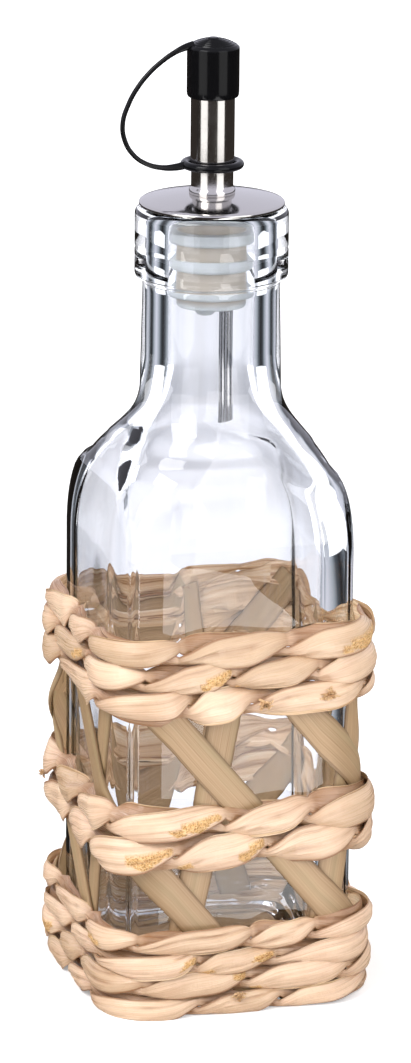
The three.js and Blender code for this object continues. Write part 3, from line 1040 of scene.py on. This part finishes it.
def stake(name, start, lean, offset, seed, low, high, bow):
    rng = random.Random(seed)
    bottom, top = low + 2.6, high - 2.6
    steps = 96
    half = 6
    length = math.hypot(lean, 1)
    acrossAlong, acrossUp = 1 / length, -lean / length
    vertices, tone, edge, uvs = [], [], [], []
    shade = rng.uniform(0.0, 0.25)
    gapLow, gapHigh = heights(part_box("middle_row_2"))[1], heights(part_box("top_row_1"))[0]
    ring = [(k / half, 1) for k in range(-half, half + 1)]
    ring += [(k / half, 0) for k in range(half, -half - 1, -1)]
    for i in range(steps + 1):
        share = i / steps
        height = bottom + (top - bottom) * share
        along = start + lean * (height - bottom)
        widthHere = stakes["width"] / 2 * (1 + 0.05 * noise.noise(Vector((height * 0.05, seed * 7, 1))))
        wander = 0.5 * noise.noise(Vector((height * 0.03, seed * 3, 4)))
        bulge = bow * math.sin(math.pi * min(1, max(0, (height - gapLow) / (gapHigh - gapLow)))) ** 2
        for s, outside in ring:
            ragged = 0.10 * noise.noise(Vector((height * 0.5, s * 2, seed)))
            sideways = (s * widthHere + (ragged if abs(s) == 1 else 0)) + wander
            depth = offset + bulge + outside * stakes["thickness"] * (1 - 0.55 * abs(s) ** 6)
            depth += 0.10 * noise.noise(Vector((height * 0.08, s, seed + 2))) + 0.18 * (1 - s * s) * outside
            place, _ = wallPlace(along + acrossAlong * sideways, depth, height + acrossUp * sideways)
            vertices.append(place * mm)
            tone.append(shade if outside else 0.0)
            edge.append(0.85 if abs(s) == 1 else 0.3 * abs(s) ** 4)
            uvs.append((height * length * 0.1, s * 0.5 + 0.5))
    count = len(ring)
    faces = ringFaces(steps + 1, count)
    faces.append(tuple(range(count)))
    faces.append(tuple(reversed(range(steps * count, (steps + 1) * count))))
    piece = meshPiece(name, vertices, (), faces)
    addLeafData(piece, uvs, tone=tone, edge=edge)
    evenNormals(piece, 50)
    return piece


def makeStakes():
    for layerNumber, (node, start, lean, offset, strays) in enumerate(stakes["layers"]):
        spacing = girth / len(strays)
        for i, stray in enumerate(strays):
            nodeName = f"{node}_{i + 1}"
            low, high = heights(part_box(nodeName))
            name = f"{node.split('_')[0]}Stake{i + 1}"
            piece = stake(name, start + i * spacing + stray, lean, offset, layerNumber * 10 + i,
                          low, high, stakes["bows"].get(nodeName, 0))
            finishPiece(piece, "sleeve", finishes["stake"], "leaf_stake", nodeName)
    print("stakes laid")


def makeBaseStrip(node):
    low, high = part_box(node)
    alongX = (high.x - low.x) > (high.y - low.y)
    deselectAll()
    bpy.ops.mesh.primitive_cube_add(size=1, location=(low + high) / 2, scale=high - low)
    piece = bpy.context.object
    piece.name = node.replace("_s", "S").replace("_u", "U").replace("_o", "O").replace("_", "")
    bpy.ops.object.transform_apply(location=True, rotation=True, scale=True)
    bpy.ops.object.mode_set(mode="EDIT")
    bpy.ops.mesh.select_all(action="SELECT")
    bpy.ops.mesh.subdivide(number_cuts=11)
    bpy.ops.object.mode_set(mode="OBJECT")
    middle = (low + high) / 2
    seed = sum(map(ord, node)) % 17
    tone, edge, uvs = [], [], []
    halfWidth = ((high.y - low.y) if alongX else (high.x - low.x)) / 2
    for vertex in piece.data.vertices:
        across = ((vertex.co.y - middle.y) if alongX else (vertex.co.x - middle.x)) / halfWidth
        along = vertex.co.x if alongX else vertex.co.y
        wobble = noise.noise(Vector((along * 60, across, seed)))
        if vertex.co.z > middle.z:
            vertex.co.z -= (0.12 + 0.1 * wobble) * mm * abs(across) ** 2
        if abs(across) > 0.98:
            if alongX:
                vertex.co.y -= math.copysign(0.25 + 0.2 * wobble, across) * mm
            else:
                vertex.co.x -= math.copysign(0.25 + 0.2 * wobble, across) * mm
        tone.append(0.1)
        edge.append(0.6 if abs(across) > 0.98 else 0.0)
        uvs.append((along * 100, across * 0.5 + 0.5))
    addLeafData(piece, uvs, tone=tone, edge=edge)
    finishPiece(piece, "sleeve", finishes["stake"], "leaf_stake", node)


def makeBaseMat():
    for node in sorted(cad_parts):
        if node.startswith("base_strip"):
            makeBaseStrip(node)
    print("base strips laid")


makeRows()
makeFrays()
makeStakes()
makeBaseMat()


viewTurn = math.radians(-17)  # the camera stands this far round from the front
room = {
    "floorSize": 9.0,
    "floorColour": (0.86, 0.86, 0.87),
    "floorSeenInGloss": (0.045, 0.038, 0.034),
    "sky": (0.50, 0.50, 0.52),
    "skySeen": (1.05, 1.05, 1.07),
    "floorGlow": 0.30,
    "farFloorGlow": 0.8,
    "skySeenInGloss": (0.80, 0.80, 0.93),
    "boxSpread": 45,      # degrees either side of the camera
    "boxDistance": 0.85,
    "boxSize": (0.58, 1.3),
    "boxPower": 4.1,
    "backBoxPower": 3.0,
    "stripes": 14,
    "stripesUpHigh": 0.5,
    "stripeColours": [(0.0, (0.02, 0.018, 0.018)), (0.3, (0.09, 0.105, 0.12)), (0.52, (0.38, 0.42, 0.46)),
                      (1.0, (0.85, 0.86, 0.95))],
    "keyTurn": -50,       # the big soft light, degrees from the camera, and how high
    "keyClimb": 52,
    "keyDistance": 1.3,
    "keySize": 0.6,
    "keyPower": 8,
    "fillTurn": 12,       # a soft light over the camera, kept out of reflections
    "fillClimb": 34,
    "fillSize": 0.8,
    "fillPower": 5.0,
}


# two outputs of the light path put through one maths node
def pathMaths(tree, operation, first, second):
    lightPath = tree.nodes.new("ShaderNodeLightPath")
    maths = tree.nodes.new("ShaderNodeMath")
    maths.operation = operation
    maths.use_clamp = True
    for socket, output in enumerate((first, second)):
        tree.links.new(lightPath.outputs[output], maths.inputs[socket])
    return maths


# 1 for rays that a shiny surface throws back, 0 for the rest, those through glass too
def reflectionOnly(tree):
    return pathMaths(tree, "SUBTRACT", "Is Glossy Ray", "Is Transmission Ray")


# 1 for rays that bounced inside the glass before they left it: they see the dark studio
def thrownAboutInGlass(tree):
    return pathMaths(tree, "MULTIPLY", "Is Transmission Ray", "Glossy Depth")


# 1 for what the camera sees, straight or through glass
def seenDirectly(tree):
    return pathMaths(tree, "MAXIMUM", "Is Camera Ray", "Is Transmission Ray")


def mathsWith(tree, operation, source, number):
    maths = tree.nodes.new("ShaderNodeMath")
    maths.operation = operation
    maths.inputs[1].default_value = number
    tree.links.new(source, maths.inputs[0])
    return maths


def mixShaders(tree, factor, first, second):
    mix = tree.nodes.new("ShaderNodeMixShader")
    for socket, source in enumerate((factor, first, second)):
        tree.links.new(source.outputs[0], mix.inputs[socket])
    return mix


# dark walls with pale gaps, by direction round the bottle
def studioStripes(tree, space):
    coords = tree.nodes.new("ShaderNodeTexCoord")
    turn = tree.nodes.new("ShaderNodeTexGradient")
    turn.gradient_type = "RADIAL"
    tree.links.new(coords.outputs[space], turn.inputs["Vector"])
    count = mathsWith(tree, "MULTIPLY", turn.outputs["Fac"], room["stripes"])
    fold = mathsWith(tree, "PINGPONG", count.outputs[0], 1.0)
    ramp = tree.nodes.new("ShaderNodeValToRGB")
    elements = ramp.color_ramp.elements
    elements.new(0.5)
    elements.new(0.6)
    for element, (place, colour) in zip(elements, room["stripeColours"]):
        element.position = place
        element.color = (*colour, 1)
    tree.links.new(fold.outputs[0], ramp.inputs["Fac"])
    return ramp


def underStripes(tree, rest, space="Generated"):
    near = space == "Object"
    glow = tree.nodes.new("ShaderNodeEmission" if near else "ShaderNodeBackground")
    tree.links.new(studioStripes(tree, space).outputs["Color"], glow.inputs["Color"])
    share = mathsWith(tree, "MULTIPLY", thrownAboutInGlass(tree).outputs[0],
                      1.0 if near else room["stripesUpHigh"])
    return mixShaders(tree, share, rest, glow)


def makeFloor():
    deselectAll()
    bpy.ops.mesh.primitive_plane_add(size=room["floorSize"], location=(0, 0, 0))
    floor = bpy.context.object
    floor.name = "floor"
    r = Recipe("paleFloor")
    grain = r.noise(r.objectCoords(), 3.0, 2, 0.5)
    colour = room["floorColour"]
    tone = r.ramp(grain, "Fac", [(0.3, tuple(0.985 * c for c in colour)), (0.7, colour)])
    r.link(tone, "Color", r.shader, "Base Color")
    r.surface({"Roughness": 0.9, "Specular IOR Level": 0.0, "Emission Color": (1, 1, 1, 1)})
    near = mathsWith(r.tree, "MULTIPLY", seenDirectly(r.tree).outputs[0], room["floorGlow"])
    # the lamps do not reach the far end, so it glows there
    away = r.add("ShaderNodeVectorMath", operation="LENGTH")
    r.link(r.objectCoords(), "Vector", away, 0)
    far = r.add("ShaderNodeMath", operation="MULTIPLY")
    r.link(r.range(away, "Value", 0.0, room["farFloorGlow"], 0.35, 1.4), "Result", far, 0)
    r.link(r.add("ShaderNodeLightPath"), "Is Camera Ray", far, 1)
    glow = r.add("ShaderNodeMath", operation="ADD")
    r.link(near, "Value", glow, 0)
    r.link(far, "Value", glow, 1)
    r.link(glow, "Value", r.shader, "Emission Strength")
    dark = r.add("ShaderNodeEmission", Color=(*room["floorSeenInGloss"], 1))
    mix = mixShaders(r.tree, reflectionOnly(r.tree), r.shader, dark)
    r.tree.links.new(underStripes(r.tree, mix, "Object").outputs[0], r.output.inputs["Surface"])
    floor.data.materials.append(r.material)


def makeSky():
    world = bpy.data.worlds.new("paleRoom")
    bpy.context.scene.world = world
    world.use_nodes = True
    tree = world.node_tree
    tree.nodes.clear()
    output = tree.nodes.new("ShaderNodeOutputWorld")
    backgrounds = []
    for colour in (room["sky"], room["skySeen"], room["skySeenInGloss"]):
        background = tree.nodes.new("ShaderNodeBackground")
        background.inputs["Color"].default_value = (*colour, 1)
        backgrounds.append(background)
    seen = mixShaders(tree, seenDirectly(tree), backgrounds[0], backgrounds[1])
    shiny = mixShaders(tree, reflectionOnly(tree), seen, backgrounds[2])
    tree.links.new(underStripes(tree, shiny).outputs[0], output.inputs["Surface"])


def addLight(name, kind, power, place, turned=(0, 0, 0)):
    lamp = bpy.data.lights.new(name, kind)
    lamp.energy = power
    light = addToScene(name, lamp)
    light.location = place
    light.rotation_euler = turned
    light.visible_camera = False
    return light


def makeSoftbox(name, degreesFromCamera, power, inReflections=True):
    turn = viewTurn + math.radians(degreesFromCamera)
    distance = room["boxDistance"]
    width, height = room["boxSize"]
    place = (math.sin(turn) * distance, -math.cos(turn) * distance, height / 2)
    box = addLight(name, "AREA", power, place, (math.radians(90), 0, turn))
    box.data.shape = "RECTANGLE"
    box.data.size, box.data.size_y = width, height
    box.visible_glossy = inReflections


cards = {
    "veil": {"place": (0.045, -0.36), "size": (0.155, 0.56), "glow": 4.4},
    "stripe": {"place": (-0.40, -0.22), "size": (0.52, 0.05), "glow": 5.0},
}


# a glowing card on the floor that only shows as a reflection in the glass
def makeCard(name, look):
    deselectAll()
    bpy.ops.mesh.primitive_plane_add(size=1, location=(*look["place"], 0.001))
    card = bpy.context.object
    card.name = name
    card.scale = (*look["size"], 1)
    if name == "stripe":
        card.rotation_euler.z = math.atan2(look["place"][1], look["place"][0])
    r = Recipe(name)
    glow = r.add("ShaderNodeEmission", Strength=look["glow"])
    r.link(glow, "Emission", r.output, "Surface")
    card.data.materials.append(r.material)
    card.visible_camera = card.visible_diffuse = card.visible_transmission = card.visible_shadow = False


def makeHighLight(name, degreesFromCamera, climb, size, power, inReflections=True):
    turn, climb = viewTurn + math.radians(degreesFromCamera), math.radians(climb)
    away = Vector((math.sin(turn) * math.cos(climb), -math.cos(turn) * math.cos(climb), math.sin(climb)))
    light = addLight(name, "AREA", power, away * room["keyDistance"] + Vector((0, 0, 0.1)),
                     away.to_track_quat("Z", "Y").to_euler())
    light.data.shape = "SQUARE"
    light.data.size = size
    light.visible_glossy = inReflections


inside = {"height": 0.062, "radius": 0.018, "power": 0.078, "colour": (1.0, 0.95, 0.90)}


# stands in for the light that clear glass gathers inside the sleeve
def makeInsideLight():
    light = addLight("insideLight", "POINT", inside["power"], (0, 0, inside["height"]))
    light.data.shadow_soft_size = inside["radius"]
    light.data.color = inside["colour"]
    light.visible_glossy = light.visible_transmission = False


camera = {
    "distance": 1.5,
    "height": 0.554,
    "aim": 0.1243,
    "lens": 195.5,
    "shift": -0.00325,
    "roll": 0.525,
}


def makeCamera():
    c = camera
    lens = bpy.data.cameras.new("camera")
    lens.lens = c["lens"]
    lens.sensor_fit = "AUTO"
    lens.sensor_width = 36
    lens.shift_x = c["shift"]
    lens.clip_start = 0.01
    far = c["distance"]
    place = Vector((math.sin(viewTurn) * far, -math.cos(viewTurn) * far, c["height"]))
    view = addToScene("camera", lens)
    aim = (Vector((0, 0, c["aim"])) - place).to_track_quat("-Z", "Y").to_matrix().to_4x4()
    roll = Matrix.Rotation(math.radians(c["roll"]), 4, "Z")
    view.matrix_world = Matrix.Translation(place) @ aim @ roll
    bpy.context.scene.camera = view


makeFloor()
makeSky()
makeSoftbox("softboxLeft", -room["boxSpread"], room["boxPower"])
makeSoftbox("softboxRight", room["boxSpread"], room["boxPower"])
makeSoftbox("softboxBackLeft", -180 + room["boxSpread"], room["backBoxPower"], False)
makeSoftbox("softboxBackRight", 180 - room["boxSpread"], room["backBoxPower"], False)
for cardName, cardLook in cards.items():
    makeCard(cardName, cardLook)
makeHighLight("keyLight", room["keyTurn"], room["keyClimb"], room["keySize"], room["keyPower"])
makeHighLight("fillLight", room["fillTurn"], room["fillClimb"], room["fillSize"], room["fillPower"], False)
makeInsideLight()
makeCamera()
bpy.context.scene.view_settings.view_transform = "Standard"
print("room and camera set")
